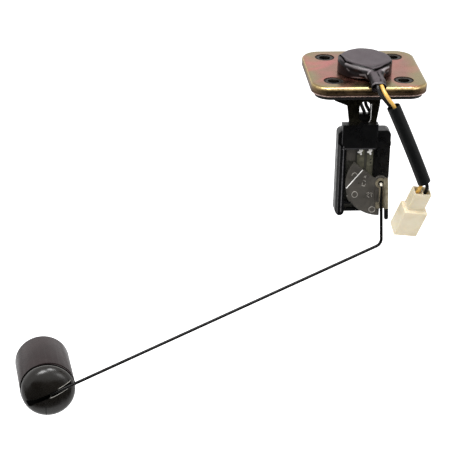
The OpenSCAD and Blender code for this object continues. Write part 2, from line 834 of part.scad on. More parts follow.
// The left rail: a column with a bevelled front corner and a round foot
module rail() {
    foot_r = rail_w / 2;
    z0 = housing_floor_z - rail_drop;
    front_y = hood_front_y - 0.4;
    bevel = 1.4;
    intersection() {
        slice(front_y, housing_back_y) {
            polygon([[housing_left, z0 + foot_r], [housing_left + rail_w, z0 + foot_r],
                [housing_left + rail_top_w, front_bottom_z + 0.4],
                [housing_left + 0.4, front_bottom_z + 3.4],
                [housing_left, front_bottom_z + 3]]);
            translate([housing_left + foot_r, z0 + foot_r]) circle(r = foot_r);
        }
        translate([housing_left, 0, z0]) linear_extrude(front_bottom_z + 4 - z0)
            polygon([[0, front_y + 1.8], [bevel, front_y], [rail_w, front_y],
                [rail_w, housing_back_y], [0, housing_back_y]]);
    }
}

module rear_cover() {
    color("#1d1d1e") difference() {
        slice(housing_back_y, housing_back_y + rear_cover_t) rear_outline(0.6);
        at_rivets() bar_y(rivet_d + 2 * seat, housing_back_y - past,
            housing_back_y + rear_cover_t + past);
    }
}

module resistor_board() {
    track_r = (wiper_in + wiper_out) / 2 + 3.5;
    track_w = 3;
    track_t = 0.1;
    color("#5c5f4a") {
        translate([window_left + seat, board_front_y, window_floor_z + seat])
            cube([window_right - window_left - 2 * seat, board_t,
                front_bottom_z - window_floor_z - 2 * seat]);
        // Resistor track under the wiper
        in_axle() slice(board_front_y - track_t, board_front_y + weld) intersection() {
            difference() {
                circle(r = track_r + track_w / 2);
                circle(r = track_r - track_w / 2);
            }
            polygon([[0, 0], [-30, 4], [-30, -30], [-16, -30]]);
        }
    }
}

module contact_strip_left() {
    color("#7b7c62") contact_strip(-2.7, 1.8, -58, 0);
}

// A contact strip on the board: a narrow head, a shoulder and a run with its holes
module contact_strip(x0, x1, z0, holes) {
    top_z = front_bottom_z - seat;
    shoulder = 5;
    step = 1;
    hole_pitch = 2.4;
    slice(board_front_y - strip_t, board_front_y) difference() {
        union() {
            translate([x0, z0]) square([x1 - x0, top_z - shoulder - z0]);
            translate([x0 + step, z0]) square([x1 - x0 - step, top_z - z0]);
        }
        if (holes > 0) for (i = [0:holes - 1])
            translate([(x0 + x1) / 2 + 0.6, top_z - (i + 3.5) * hole_pitch]) circle(d = 1.2);
    }
    // Tinned end of the inner lead
    intersection() {
        translate([x0 + 1.7, board_front_y - strip_t, top_z - 3.4]) sphere(d = solder_d, $fn = 24);
        slice(board_front_y - solder_d, board_front_y) translate([x0, z0])
            square([2 * solder_d, top_z - z0]);
    }
}

module contact_strip_right() {
    color("#7d7468") contact_strip(3.4, 7.4, -61, 2);
}

module terminal_block() {
    size = [5.7, 7.3];
    block_t = 1.6;
    drop = 1.2;
    color("#6f6b66") slice(board_front_y - block_t, board_front_y)
        translate([window_left + turn_gap, front_bottom_z - drop - size[1]]) square(size);
}

module in_axle() {
    translate([axle_x, 0, axle_z]) children();
}

module rotor() {
    plate_r = 4.7;
    color("#4b4743") in_axle() difference() {
        union() {
            slice(rotor_front_y, rotor_back_y) {
                wedge(rotor_r, sector_up, 270);
                wedge(lug_r, lug_up, lug_low);
                circle(r = plate_r);
                translate([-weld, -plate_low]) square([plate_r + weld, plate_low]);
            }
            // Raised edge beside the wire
            translate([edge_at[0], rotor_front_y - edge_size[1], edge_at[1]])
                cube(edge_size + [0, weld, 0]);
            bar_y(hub_d, rotor_back_y - weld, hub_end_y);
        }
        bar_y(wire_bore_d, rotor_front_y - past, housing_back_y + past);
        bar_y(wire_d + 1.6, rotor_front_y - past, rotor_front_y + 1);
    }
}

// A sector of a circle in X and Z, from one angle to another, 130 degrees wide at most
module wedge(r, a0, a1) {
    intersection() {
        circle(r = r);
        polygon([[0, 0], 60 * [cos(a0), sin(a0)],
            120 * [cos((a0 + a1) / 2), sin((a0 + a1) / 2)], 60 * [cos(a1), sin(a1)]]);
    }
}

module wiper_spring() {
    leaf_t = 0.3;
    tip_y = board_front_y - 0.15;
    bend = wiper_in + 4;
    tip = wiper_out - 1.3;
    color("#c9b36a") in_axle() rotate([0, -wiper_turn, 0]) translate([0, 0, -1.5])
        linear_extrude(3) polygon([[wiper_in, rotor_back_y], [wiper_in, rotor_back_y + leaf_t],
            [bend, rotor_back_y + leaf_t], [tip, tip_y], [wiper_out, tip_y],
            [wiper_out, tip_y - leaf_t], [tip + 0.1, tip_y - leaf_t], [bend + 0.1, rotor_back_y]]);
}

module float_arm() {
    // A slight swell where the elbow runs into each leg
    swell_d = wire_d + 0.06;
    color("#2b2a2b") {
        in_axle() rotate([0, -leg_lean, 0]) {
            bar_y(wire_d, wire_y + small_bend_r, housing_back_y - 0.2);
            translate([0, wire_y + small_bend_r, -small_bend_r]) rotate([0, 90, 0])
                rotate(180) rotate_extrude(angle = 90) translate([small_bend_r, 0])
                    circle(d = wire_d);
            translate([0, wire_y, -leg_len + elbow_tangent]) {
                cylinder(d = wire_d, h = leg_len - elbow_tangent - small_bend_r);
                sphere(d = swell_d);
            }
        }
        in_long_leg() {
            rotate([elbow_roll, 0, 0]) translate([-elbow_tangent, 0, elbow_r])
                rotate([90, 0, 0]) rotate(-90) rotate_extrude(angle = elbow_turn)
                    translate([elbow_r, 0]) circle(d = wire_d);
            translate([-arm_len + small_bend_r, 0, 0]) rotate([0, 90, 0])
                cylinder(d = wire_d, h = arm_len - small_bend_r - elbow_tangent);
            translate([-elbow_tangent, 0, 0]) sphere(d = swell_d);
            translate([-arm_len + small_bend_r, small_bend_r, 0]) rotate(180)
                rotate_extrude(angle = 90) translate([small_bend_r, 0]) circle(d = wire_d);
            translate([-arm_len, 0, 0])
                bar_y(wire_d, small_bend_r, float_wire_y + float_l + 2.4);
        }
    }
}

// The long leg's frame: origin at the elbow's corner, the wire along -X
module in_long_leg() {
    translate([elbow_x, wire_y, elbow_z]) rotate([0, -arm_drop, 0]) rotate([0, 0, arm_splay])
        children();
}

module arm_clip() {
    color("#a8925a") in_axle() rotate([0, -leg_lean, 0]) difference() {
        union() {
            slice(clip_front_y, rotor_front_y) {
                circle(r = 3.4);
                translate([-1.2, -clip_low]) square([6, clip_low]);
                translate([-3.4, -clip_low]) square([3, 4]);
                translate([clip_rib_x, 0]) circle(d = clip_rib_d);
            }
            intersection() {
                translate([clip_rib_x, clip_front_y, -clip_low])
                    cylinder(d = clip_rib_d, h = clip_low + 3.3);
                slice(rotor_front_y - 5, rotor_front_y) translate([0, -30]) square([10, 40]);
            }
        }
        bar_y(wire_d + 1.6, clip_front_y - past, rotor_front_y + past);
    }
}

module clip_end() {
    sheath_l = 8;
    r = clip_rib_d / 2 - seat;
    color("#26261c") in_axle() rotate([0, -leg_lean, 0])
        translate([clip_rib_x, clip_front_y - seat, -clip_low - sheath_l + r]) {
            cylinder(r = r, h = sheath_l - r);
            sphere(r = r);
        }
}

module axle_clip() {
    color("#8f8f88") in_axle() difference() {
        bar_y(hub_d + 1, hub_end_y, hub_end_y + 0.6);
        bar_y(wire_bore_d, hub_end_y - past, hub_end_y + past);
    }
}

module in_float() {
    in_long_leg() translate([-arm_len, float_wire_y, 0]) children();
}

module float() {
    r = float_d / 2;
    // The groove leaves the wire clear, and the bore opens wide where the wire bends into it
    groove_y = wire_d / 2 + 0.2 - float_wire_y;
    color("#3a3433") in_float() difference() {
        rotate([-90, 0, 0]) rotate_extrude() {
            translate([0, gap_ring_w]) square([r, float_l - float_edge_r - gap_ring_w]);
            square([r - float_edge_r, float_l]);
            translate([r - float_edge_r, float_l - float_edge_r]) circle(r = float_edge_r);
            dome_section();
        }
        bar_y(wire_bore_d, -dome_h - past, float_l + past);
        bar_y(wire_d + 1.4, -dome_h - past, small_bend_r - float_wire_y + 0.2);
        translate([-float_d, -dome_h - past, -groove_w / 2])
            cube([2 * float_d, dome_h + past + groove_y, groove_w]);
    }
}

// Half section of the dome: a straight foot, a round shoulder and a flatter front
module dome_section() {
    r = float_d / 2 - gap_ring_d / 2;
    in = r - shoulder_r;
    // The front's radius, and where the front runs into the shoulder
    h = dome_h - dome_foot;
    front_r = (pow(in, 2) + pow(h, 2) - pow(shoulder_r, 2)) / (2 * (h - shoulder_r));
    join_x = in * front_r / (front_r - shoulder_r);
    translate([0, -dome_foot]) square([r, dome_foot]);
    translate([in, -dome_foot]) circle(r = shoulder_r);
    intersection() {
        translate([0, front_r - dome_h]) circle(r = front_r, $fn = 96);
        translate([0, -dome_h]) square([join_x, dome_h]);
    }
}

module float_nut() {
    color("#9a9a94") in_float() difference() {
        bar_y(8, float_l, float_l + float_nut_t);
        bar_y(wire_bore_d, float_l - past, float_l + float_nut_t + past);
    }
}

flange_cover();
backing_plate();
gasket();
bolt_collars();
upper_insulator();
lower_insulator();
terminal_screws();
terminal_nuts();
outer_eyelets();
inner_eyelets();
boot();
lead_yellow();
lead_black();
lead_sleeve();
connector_housing();
connector_blades();
bracket();
bracket_rivets();
inner_lead_left();
inner_lead_right();
sender_housing();
rear_cover();
resistor_board();
contact_strip_left();
contact_strip_right();
terminal_block();
rotor();
wiper_spring();
float_arm();
arm_clip();
clip_end();
axle_clip();
float();
float_nut();
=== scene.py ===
"""Looks of the fuel level sender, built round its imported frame."""
import json
import math

import bmesh
import bpy
import numpy as np
from mathutils import Matrix, Vector


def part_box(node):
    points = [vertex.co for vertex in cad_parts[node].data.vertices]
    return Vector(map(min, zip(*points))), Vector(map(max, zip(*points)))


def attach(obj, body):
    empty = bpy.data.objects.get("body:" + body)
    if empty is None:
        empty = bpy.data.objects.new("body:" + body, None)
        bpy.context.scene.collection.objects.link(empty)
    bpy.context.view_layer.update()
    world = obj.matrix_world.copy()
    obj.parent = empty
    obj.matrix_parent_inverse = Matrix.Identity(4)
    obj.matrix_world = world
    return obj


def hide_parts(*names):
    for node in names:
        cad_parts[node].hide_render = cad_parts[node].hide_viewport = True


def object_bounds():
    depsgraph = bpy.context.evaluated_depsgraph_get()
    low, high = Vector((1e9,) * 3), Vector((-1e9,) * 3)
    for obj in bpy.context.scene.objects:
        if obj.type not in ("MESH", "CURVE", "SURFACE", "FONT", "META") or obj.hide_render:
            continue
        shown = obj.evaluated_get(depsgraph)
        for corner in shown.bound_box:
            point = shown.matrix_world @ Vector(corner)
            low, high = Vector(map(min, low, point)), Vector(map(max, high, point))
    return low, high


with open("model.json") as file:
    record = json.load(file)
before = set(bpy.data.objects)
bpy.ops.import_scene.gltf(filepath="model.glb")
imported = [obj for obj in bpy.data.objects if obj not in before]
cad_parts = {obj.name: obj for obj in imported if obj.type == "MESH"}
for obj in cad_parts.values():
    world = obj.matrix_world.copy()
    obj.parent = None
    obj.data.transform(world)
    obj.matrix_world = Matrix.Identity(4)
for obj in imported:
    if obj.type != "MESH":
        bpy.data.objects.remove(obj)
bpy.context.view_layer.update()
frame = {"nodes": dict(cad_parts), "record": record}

MM = 0.001


# Camera: the photograph's place, turn and lens, for a square image
EYE = Vector((-0.1721, -1.0231, 0.3725))
YAW, PITCH, ROLL = 4.86, 24.60, -1.13
FOCAL_PIXELS, IMAGE_PIXELS, SENSOR = 1743, 450, 36


def make_camera():
    """The camera at the photograph's place."""
    data = bpy.data.cameras.new("camera")
    data.sensor_width = SENSOR
    data.lens = FOCAL_PIXELS / IMAGE_PIXELS * SENSOR
    data.clip_start, data.clip_end = 0.05, 20
    camera = bpy.data.objects.new("camera", data)
    bpy.context.scene.collection.objects.link(camera)
    turn = (Matrix.Rotation(math.radians(-YAW), 4, "Z")
            @ Matrix.Rotation(math.radians(90 - PITCH), 4, "X")
            @ Matrix.Rotation(math.radians(-ROLL), 4, "Z"))
    camera.matrix_world = Matrix.Translation(EYE) @ turn
    bpy.context.scene.camera = camera


# Cords: the routes of part.scad, in millimetres

YELLOW_ROUTE = [
    (6.5, -2.4, 12.1), (6.5, -6.4, 12.1), (6, -12, 12.1), (5.3, -17, 12.1), (5, -22, 12.1),
    (4.9, -27, 12.1), (4.8, -32, 12.1), (4.8, -36, 12), (5.2, -40.2, 11.2), (6.2, -43.9, 9.1),
    (8.4, -46.4, 5.8), (11.9, -47.2, 1.2), (14.7, -47.3, -5), (17.3, -47.3, -11.1),
    (19.8, -47.3, -17.2), (22.1, -47.3, -23.3), (24.4, -47.1, -29.4), (26.8, -46.8, -35.4),
    (29.2, -46.5, -41.4), (31.4, -46.2, -46.5), (32.4, -46.1, -50.1), (31.6, -45.4, -53.6),
    (30.3, -43.9, -57.6), (29.4, -42.6, -61), (28.7, -41.4, -63.8)]
BLACK_ROUTE = [
    (-6.5, -2.4, 12.1), (-6.5, -6.4, 12.1), (-3.8, -12, 12.1), (0, -17, 12.1),
    (1.9, -22, 12.1), (2.2, -27, 12.1), (2.2, -32, 12.1), (2.2, -36, 12), (2.6, -40.1, 10.9),
    (3.9, -42.7, 7.6), (7, -44.6, 3.9), (11, -45.1, -0.9), (13.7, -44.9, -5.9),
    (16.7, -44.7, -11.3), (19.8, -44.7, -17.1), (22.9, -44.7, -22.9), (25.8, -44.9, -28.7),
    (28.7, -45.2, -34.6), (31.5, -45.5, -40.4), (33.8, -45.8, -45.4), (35.3, -45.8, -49.8),
    (36.2, -45, -53.6), (35.7, -43.4, -57.5), (34.8, -42, -60.9), (33.8, -40.4, -64.8)]
LEAD_D = 2.3
# The slope of the wire's long leg at rest, in degrees
ARM_DROP = 22.8
# The sleeve's upper end, its turn from straight down, its length and its two diameters
SLEEVE_TOP, SLEEVE_TURN = Vector((12, -46, 0.7)), 23.8
SLEEVE_LENGTH, SLEEVE_D, SLEEVE_WALL, SLEEVE_BOW = 55, 8.3, 0.8, 0.35


def smooth(route, steps=6):
    """A Catmull-Rom curve through a route's points, in metres."""
    points = [Vector(p) * MM for p in route]
    ends = [points[0] * 2 - points[1], *points, points[-1] * 2 - points[-2]]
    line = []
    for a, b, c, d in zip(ends, ends[1:], ends[2:], ends[3:]):
        for i in range(steps):
            t = i / steps
            line.append(0.5 * (2 * b + (c - a) * t + (2 * a - 5 * b + 4 * c - d) * t ** 2
                               + (3 * b - a - 3 * c + d) * t ** 3))
    return line + [points[-1]]


def round_curve(name, line, diameter):
    """A round curve object along a line of points."""
    data = bpy.data.curves.new(name, "CURVE")
    data.dimensions = "3D"
    data.bevel_depth, data.bevel_resolution, data.use_fill_caps = diameter / 2, 6, True
    spline = data.splines.new("POLY")
    spline.points.add(len(line) - 1)
    for point, place in zip(spline.points, line):
        point.co = (*place, 1)
    spline.use_smooth = True
    obj = bpy.data.objects.new(name, data)
    bpy.context.scene.collection.objects.link(obj)
    return obj


def make_leads():
    """The two outer leads, end to end, each in place of its CAD tube."""
    for node, route, finish, end in (
            ("lead_yellow", YELLOW_ROUTE, "yellow_insulation", "connector_housing"),
            ("lead_black", BLACK_ROUTE, "black_insulation", "connector_blades")):
        line = smooth(route)
        lead = dress(round_curve(node.replace("lead", "cord"), line, LEAD_D * MM), finish)
        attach(lead, "sender")
        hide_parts(node)


def make_sleeve():
    """The sleeve: a thin tube with a slight bow and open ends."""
    turn = math.radians(SLEEVE_TURN)
    down = Vector((math.sin(turn), 0, -math.cos(turn)))
    side = Vector((math.cos(turn), 0, math.sin(turn)))
    across = Vector((0, 1, 0))
    rings, sides = 24, 40
    made = bmesh.new()
    walls = []
    for radius in (SLEEVE_D / 2, SLEEVE_D / 2 - SLEEVE_WALL):
        wall = []
        for i in range(rings + 1):
            share = i / rings
            bow = SLEEVE_BOW * (4 * share * (1 - share) - 2 / 3)
            middle = SLEEVE_TOP + down * SLEEVE_LENGTH * share + side * bow
            wall.append([made.verts.new((middle + radius * (
                math.cos(a) * side + math.sin(a) * across)) * MM)
                for a in (2 * math.pi * k / sides for k in range(sides))])
        walls.append(wall)
    outer, inner = walls
    for k in range(sides):
        n = (k + 1) % sides
        for i in range(rings):
            made.faces.new((outer[i][k], outer[i + 1][k], outer[i + 1][n], outer[i][n]))
            made.faces.new((inner[i][n], inner[i + 1][n], inner[i + 1][k], inner[i][k]))
        made.faces.new((outer[0][n], inner[0][n], inner[0][k], outer[0][k]))
        made.faces.new((outer[-1][k], inner[-1][k], inner[-1][n], outer[-1][n]))
    sleeve = dress(mesh_object("sleeve", made), "sleeve_vinyl")
    soften(sleeve, 0.2 * MM)
    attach(sleeve, "sender")
    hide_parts("lead_sleeve")


def mesh_object(name, made):
    """A smooth-shaded object from a bmesh."""
    bmesh.ops.recalc_face_normals(made, faces=made.faces)
    data = bpy.data.meshes.new(name)
    made.to_mesh(data)
    made.free()
    data.shade_smooth()
    obj = bpy.data.objects.new(name, data)
    bpy.context.scene.collection.objects.link(obj)
    return obj


# Boot

# Its folds as lines of points, each with its height and width: a ridge rises, a dent sinks
BOOT_FOLDS = [
    ([(-15.4, 1.5, 16.6), (-14, -5, 17.6), (-10.4, -14.2, 17.4), (-3.2, -19.6, 16.8),
      (2.6, -23, 16)], 0.55, 1.1),
    ([(2.6, -23, 16), (7.4, -20, 16.2), (12.4, -14.4, 16.6), (15.6, -8.5, 16.6)], 0.6, 0.9),
    ([(-14.9, -8.6, 14.4), (-10.2, -16, 14), (-4.6, -21, 13.6), (0.4, -24.8, 13.2)], -0.7, 1.5),
    ([(3.4, -23.8, 15.6), (7.6, -21.6, 14.4), (11.6, -17.4, 12.6)], -1.0, 1.1),
    ([(6, -24.2, 15), (9.6, -20.2, 14.9), (13.4, -15, 14.4)], 0.4, 0.8),
    ([(6.6, -26.5, 13.6), (10, -20.6, 11.2), (13.6, -16.8, 10.2)], -0.5, 1.0),
    ([(-1.4, -25.2, 14.6), (-1.6, -29, 13), (-1, -34, 11.6)], 0.4, 0.9),
]
# Painted light on the boot: lines of painted crease shade (strength below 0) and painted highlights
# (strength above 0), each with its strength and width
BOOT_PAINTED_LIGHT = [
    ([(-15.4, 0, 17.8), (-14.5, -5.6, 18.1), (-13.4, -12.2, 17.5), (-10.7, -15.4, 17.6),
      (-7.2, -17.3, 17.3), (-2.6, -20.3, 16.9), (0.5, -22, 16.4), (4.2, -22.6, 16)], -1.3, 0.6),
    ([(4.2, -22.8, 16.1), (7.4, -20.6, 16.5), (10.5, -17.1, 16.7), (14.7, -12.1, 16.7)], -1.2, 0.7),
    ([(-13.2, -13.4, 16.8), (-11.1, -15.9, 16.6), (-8.9, -17.9, 16.2), (-5.8, -19.9, 15.8),
      (-2.8, -21.9, 15.6), (-0.6, -23, 15.5)], 0.75, 0.75),
    ([(8.2, -22.4, 15.3), (10.1, -19.8, 15.4), (13, -15.4, 14.9)], 0.7, 0.9),
    ([(-12.9, -15.6, 14.4), (-11.9, -16.8, 13.4)], 0.25, 0.4),
    ([(-5.8, -21.4, 12.2), (-3, -24.3, 13.2), (-2, -25.4, 11.7)], 0.3, 0.45),
    ([(11.6, -17.4, 12.4), (13, -15.4, 12.7)], 0.4, 0.6),
    ([(-1.5, -25.8, 14.2), (-0.9, -25, 15.1), (0.5, -24, 15.6)], 0.8, 0.35),
    ([(4.2, -23.2, 16), (4.6, -27.5, 15.3), (4.6, -38, 14.4)], -0.9, 0.5),
    ([(-1.7, -26.6, 13.4), (-1.4, -32, 12.6), (-1.2, -38.5, 12)], -0.9, 0.5),
    ([(-1.3, -39.9, 12.2), (0.4, -39.9, 13.6), (6.6, -39.9, 13.6), (8.2, -39.9, 12.2)], 0.5, 0.5)]
# The lower edge is lifted off the cover between these places, left to right
BOOT_LIP_FROM, BOOT_LIP_TO, BOOT_LIP_RISE = -11, 0, 0.7
# Painted highlight on the lip: its strength, height above the lower edge and width
BOOT_LIP_HIGHLIGHT, BOOT_LIP_AT, BOOT_LIP_WIDE = 0.45, 0.6, 0.4
# Its top is a little higher towards the back
BOOT_CROWN, BOOT_CROWN_Y, BOOT_CROWN_R = 1.1, 5, 11
# Its spout droops from here on, by so much at the mouth
BOOT_DROOP_Y, BOOT_DROOP = -34.5, 1.8
BOOT_VOXEL = 0.34


def from_line(points, line):
    """Each point's distance from a line of points."""
    best = np.full(len(points), 1e9)
    for a, b in zip(line, line[1:]):
        a, b = np.array(a), np.array(b)
        along = np.clip((points - a) @ (b - a) / ((b - a) @ (b - a)), 0, 1)
        best = np.minimum(best, np.linalg.norm(points - a - along[:, None] * (b - a), axis=1))
    return best


def make_boot():
    """The soft boot: the CAD shell, blended into one skin with folds and a lifted lip."""
    skin = bpy.data.objects.new("boot_skin", frame["nodes"]["boot"].data.copy())
    bpy.context.scene.collection.objects.link(skin)
    remesh = skin.modifiers.new("blend", "REMESH")
    remesh.mode, remesh.voxel_size = "VOXEL", BOOT_VOXEL * MM
    relax = skin.modifiers.new("relax", "SMOOTH")
    relax.factor, relax.iterations = 0.6, 10
    graph = bpy.context.evaluated_depsgraph_get()
    skin.data = bpy.data.meshes.new_from_object(skin.evaluated_get(graph))
    skin.modifiers.clear()
    mesh = skin.data
    count = len(mesh.vertices)
    flat = np.zeros(count * 3)
    mesh.vertices.foreach_get("co", flat)
    points = flat.reshape(-1, 3) / MM
    normals = np.zeros(count * 3)
    mesh.vertices.foreach_get("normal", normals)
    normals = normals.reshape(-1, 3)
    moved = points.copy()
    for line, height, width in BOOT_FOLDS:
        moved += normals * (height * np.exp(-(from_line(points, line) / width) ** 2))[:, None]
    # A crown towards the back, slow unevenness all over, and the lifted lip
    away = np.hypot(points[:, 0] + 1, points[:, 1] - BOOT_CROWN_Y) / BOOT_CROWN_R
    moved[:, 2] += BOOT_CROWN * np.exp(-away ** 2) * np.clip((points[:, 2] - 14) / 3, 0, 1)
    swell = (np.sin(points[:, 0] * 0.55 + 1) * np.sin(points[:, 1] * 0.47 + 2)
             + 0.6 * np.sin(points[:, 2] * 0.9 + points[:, 0] * 0.8))
    moved += normals * (0.09 * swell)[:, None]
    across = np.clip((points[:, 0] - BOOT_LIP_FROM) / (BOOT_LIP_TO - BOOT_LIP_FROM), 0, 1)
    front = np.clip((-points[:, 1] - 14) / 5, 0, 1) * np.clip((12.5 - points[:, 2]) / 3.5, 0, 1)
    moved[:, 2] += BOOT_LIP_RISE * np.sin(np.pi * across) * front * (points[:, 1] > -26)
    # The spout droops at its mouth
    moved[:, 2] -= BOOT_DROOP * np.clip((BOOT_DROOP_Y - points[:, 1]) / 5.5, 0, 1) ** 2
    mesh.vertices.foreach_set("co", (moved * MM).ravel())
    # Painted light, stored on the skin's points: crease shade and highlights along the lines above,
    # and a painted highlight along the lip
    painted_light = sum(strength * np.exp(-(from_line(moved, line) / width) ** 2)
               for line, strength, width in BOOT_PAINTED_LIGHT)
    lip = (points[:, 2] - points[:, 2].min() - BOOT_LIP_AT) / BOOT_LIP_WIDE
    painted_light += BOOT_LIP_HIGHLIGHT * np.exp(-lip ** 2) * np.sin(np.pi * across) * (points[:, 1] < -14)
    mesh.attributes.new("painted_light", "FLOAT", "POINT").data.foreach_set("value", painted_light)
    mesh.shade_smooth()
    mesh.update()
    calm = skin.modifiers.new("calm", "SMOOTH")
    calm.factor, calm.iterations = 0.5, 3
    dress(skin, "boot_rubber")
    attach(skin, "sender")
    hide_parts("boot")


# Rotor marks: strokes in millimetres right of and above the axle, moulded in the plate's face and
# painted paler than the plate as highlights
ROTOR_STROKES = [
    [(-18.7, 5.3), (-18.2, 6.6), (-17, 7.4), (-15.9, 6.8), (-15.4, 5.9), (-14.5, 6), (-13.6, 7.4)],
    [(-10.9, 4.1), (-9.3, 5.1)], [(-10.5, 5.1), (-9.8, 3.5)], [(-11.3, 2.3), (-9.7, 1.1)],
    [(-11.7, 0.5), (-11.9, -1.5), (-10.2, -2.1), (-9.6, -0.4)],
    [(-8.6, -7.2), (-7.5, -6.4), (-7, -7.2), (-8.4, -8.7), (-6.9, -10)],
    [(-6.4, -6.8), (-4.9, -7), (-5.8, -8.2), (-5, -9.6)]]
# Round marks: middle, half width and half height
ROTOR_ROUNDS = [((-16.3, -7.8), 1.8, 2), ((-4.6, -18.4), 2, 1.9)]
ROTOR_GROOVE = [(-11.9, 9.2), (-21.9, -3.4)]
AXLE = (12.5, -63.2)
ROTOR_FACE = -14.5
# Tinned ends of the inner leads on the two contact strips: x and z
TINNED_ENDS = [(-1, -43.6), (5.1, -43.6)]
STRIP_FACE = -10.2
# The middle of the lower round of the bracket's opening, and the painted highlight along its edge:
# its radius and its depth
SLOT_LOW, SLOT_RIM_R, SLOT_RIM_Y = (0.85, -21.05), 3.95, -8.9


def on_rotor(points):
    """Points on the rotor's front face, in metres."""
    return [Vector((AXLE[0] + x, ROTOR_FACE, AXLE[1] + z)) * MM for x, z in points]


def make_marks():
    """The numbers, rounds and pointer line moulded in the rotor's face, painted paler than the plate
    as highlights.
    """
    strokes = list(ROTOR_STROKES)
    for (x, z), wide, high in ROTOR_ROUNDS:
        turns = [2 * math.pi * i / 24 for i in range(25)]
        strokes.append([(x + wide * math.cos(a), z + high * math.sin(a)) for a in turns])
    for i, stroke in enumerate(strokes):
        mark = round_curve(f"rotor_mark_highlight_{i + 1}", on_rotor(stroke), 0.42 * MM)
        mark.data.materials.append(MARK_HIGHLIGHT)
        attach(mark, "arm")
    pointer = round_curve("rotor_pointer", on_rotor(ROTOR_GROOVE), 0.6 * MM)
    pointer.data.materials.append(GLINT_WHITE)
    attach(pointer, "arm")


def make_rim_highlight():
    """A painted highlight along the edge, round the right and the bottom of the bracket's opening."""
    x, z = SLOT_LOW
    line = [Vector((x + SLOT_RIM_R, SLOT_RIM_Y, z + 9.5)) * MM,
            Vector((x + SLOT_RIM_R, SLOT_RIM_Y, z + 4)) * MM]
    for i in range(17):
        turn = math.radians(-7 * i)
        line.append(Vector((x + SLOT_RIM_R * math.cos(turn), SLOT_RIM_Y,
                            z + SLOT_RIM_R * math.sin(turn))) * MM)
    rim = round_curve("slot_rim", line, 0.5 * MM)
    rim.data.materials.append(GLINT_WHITE)
    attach(rim, "sender")


def make_tinned_ends():
    """Twisted strands at the head of each contact strip, coloured near white as a painted sheen of
    their tin.
    """
    for i, (x, z) in enumerate(TINNED_ENDS):
        for k, (dx, dz) in enumerate(((-1.5, 0.5), (-0.3, 2.2), (1.2, 2.0), (0.6, -1.2))):
            line = [Vector((x, STRIP_FACE - 0.3, z)) * MM,
                    Vector((x + dx * 0.6, STRIP_FACE - 0.9, z + dz * 0.6)) * MM,
                    Vector((x + dx, STRIP_FACE - 0.6, z + dz)) * MM]
            strand = round_curve(f"tinned_end_{i + 1}_{k + 1}", line, 1.3 * MM)
            strand.data.materials.append(GLINT_WHITE)
            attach(strand, "sender")


# Painted highlights on the housing's edges: from and to along X, from and to along Z, and how pale
# they are
EDGE_HIGHLIGHTS = [((-12.5, -12.0), (-83, -38), 0.75), ((-14.7, -14.2), (-84, -37), 0.3),
                ((-13.2, 8), (-40.1, -39.5), 0.45), ((-13.7, -13.2), (-37, -24), 0.4)]
EDGE_HIGHLIGHT_DEPTH = (-15, -12.6)


# Node materials

